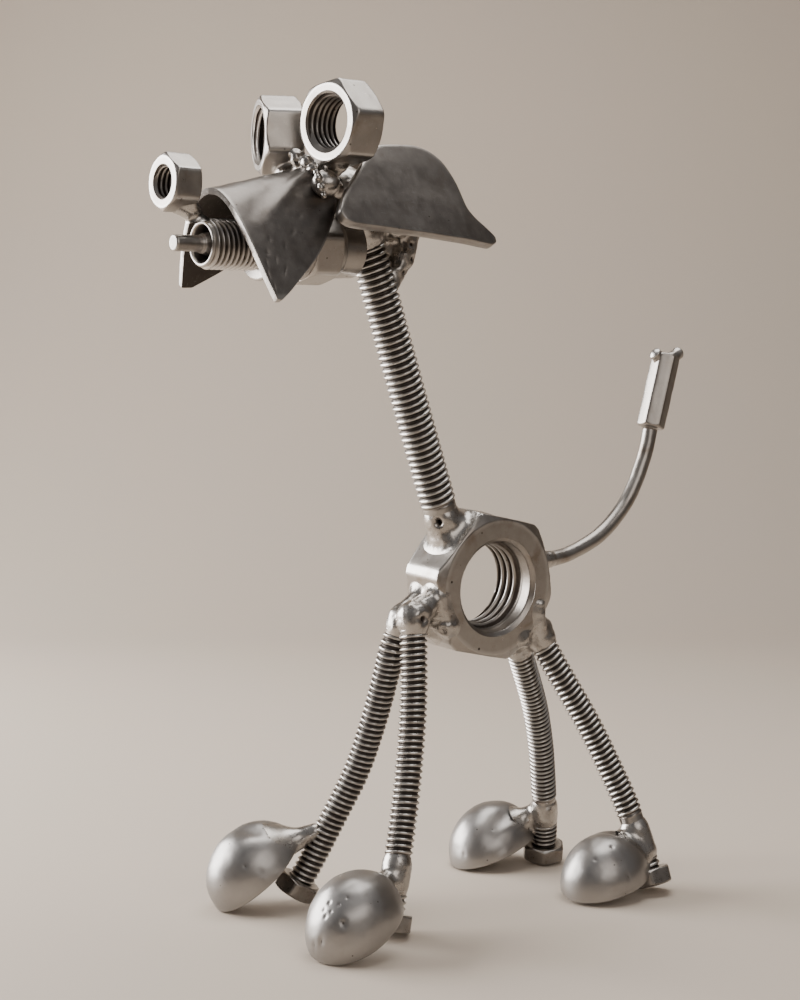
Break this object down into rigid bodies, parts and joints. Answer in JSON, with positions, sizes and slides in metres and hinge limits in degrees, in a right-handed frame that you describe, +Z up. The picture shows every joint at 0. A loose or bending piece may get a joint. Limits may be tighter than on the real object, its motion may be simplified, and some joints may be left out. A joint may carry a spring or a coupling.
{
  "type": "scrap metal dog sculpture",
  "caption": "Standing dog figure welded from steel nuts, bent threaded bolts, half-egg feet, a spark plug snout and sheet ears.",
  "frame": {"origin": "middle of the bounding box, on the ground the figure stands on", "axes": "+Z up, the dog faces -Y, its left side is +X"},
  "size_m": [0.0852, 0.203, 0.2487],
  "materials": {
    "bare_steel": "satin bare steel with scratches and heat tint",
    "threaded_steel": "rolled thread, bright crests and dark roots",
    "cast_steel": "smooth satin casting with small pits",
    "heated_sheet": "darker heat-tinted sheet",
    "weld_metal": "shiny lumpy weld metal",
    "core_metal": "dull pin in a dark socket"
  },
  "bodies": {
    "root": {"body_nut": "bare_steel", "neck_rod": "threaded_steel", "leg_front_left": "threaded_steel", "leg_front_right": "threaded_steel", "leg_rear_left": "threaded_steel", "leg_rear_right": "threaded_steel", "foot_front_left": "cast_steel", "foot_front_right": "cast_steel", "foot_rear_left": "cast_steel", "foot_rear_right": "cast_steel", "tail_rod": "bare_steel", "tail_tip": "bare_steel", "spark_plug_shell": "bare_steel", "spark_plug_core": "core_metal", "muzzle_plate": "heated_sheet", "ear_left": "heated_sheet", "ear_right": "heated_sheet", "nose_nut": "bare_steel", "eye_nut_left": "bare_steel", "eye_nut_right": "bare_steel", "weld_neck_body": "weld_metal", "weld_front_legs": "weld_metal", "weld_rear_legs": "weld_metal", "weld_tail": "weld_metal", "weld_foot_front_left": "weld_metal", "weld_foot_front_right": "weld_metal", "weld_foot_rear_left": "weld_metal", "weld_foot_rear_right": "weld_metal", "weld_nose": "weld_metal", "weld_eyes": "weld_metal", "weld_crown": "weld_metal", "weld_temple_left": "weld_metal", "weld_temple_right": "weld_metal"}
  },
  "joints": []
}
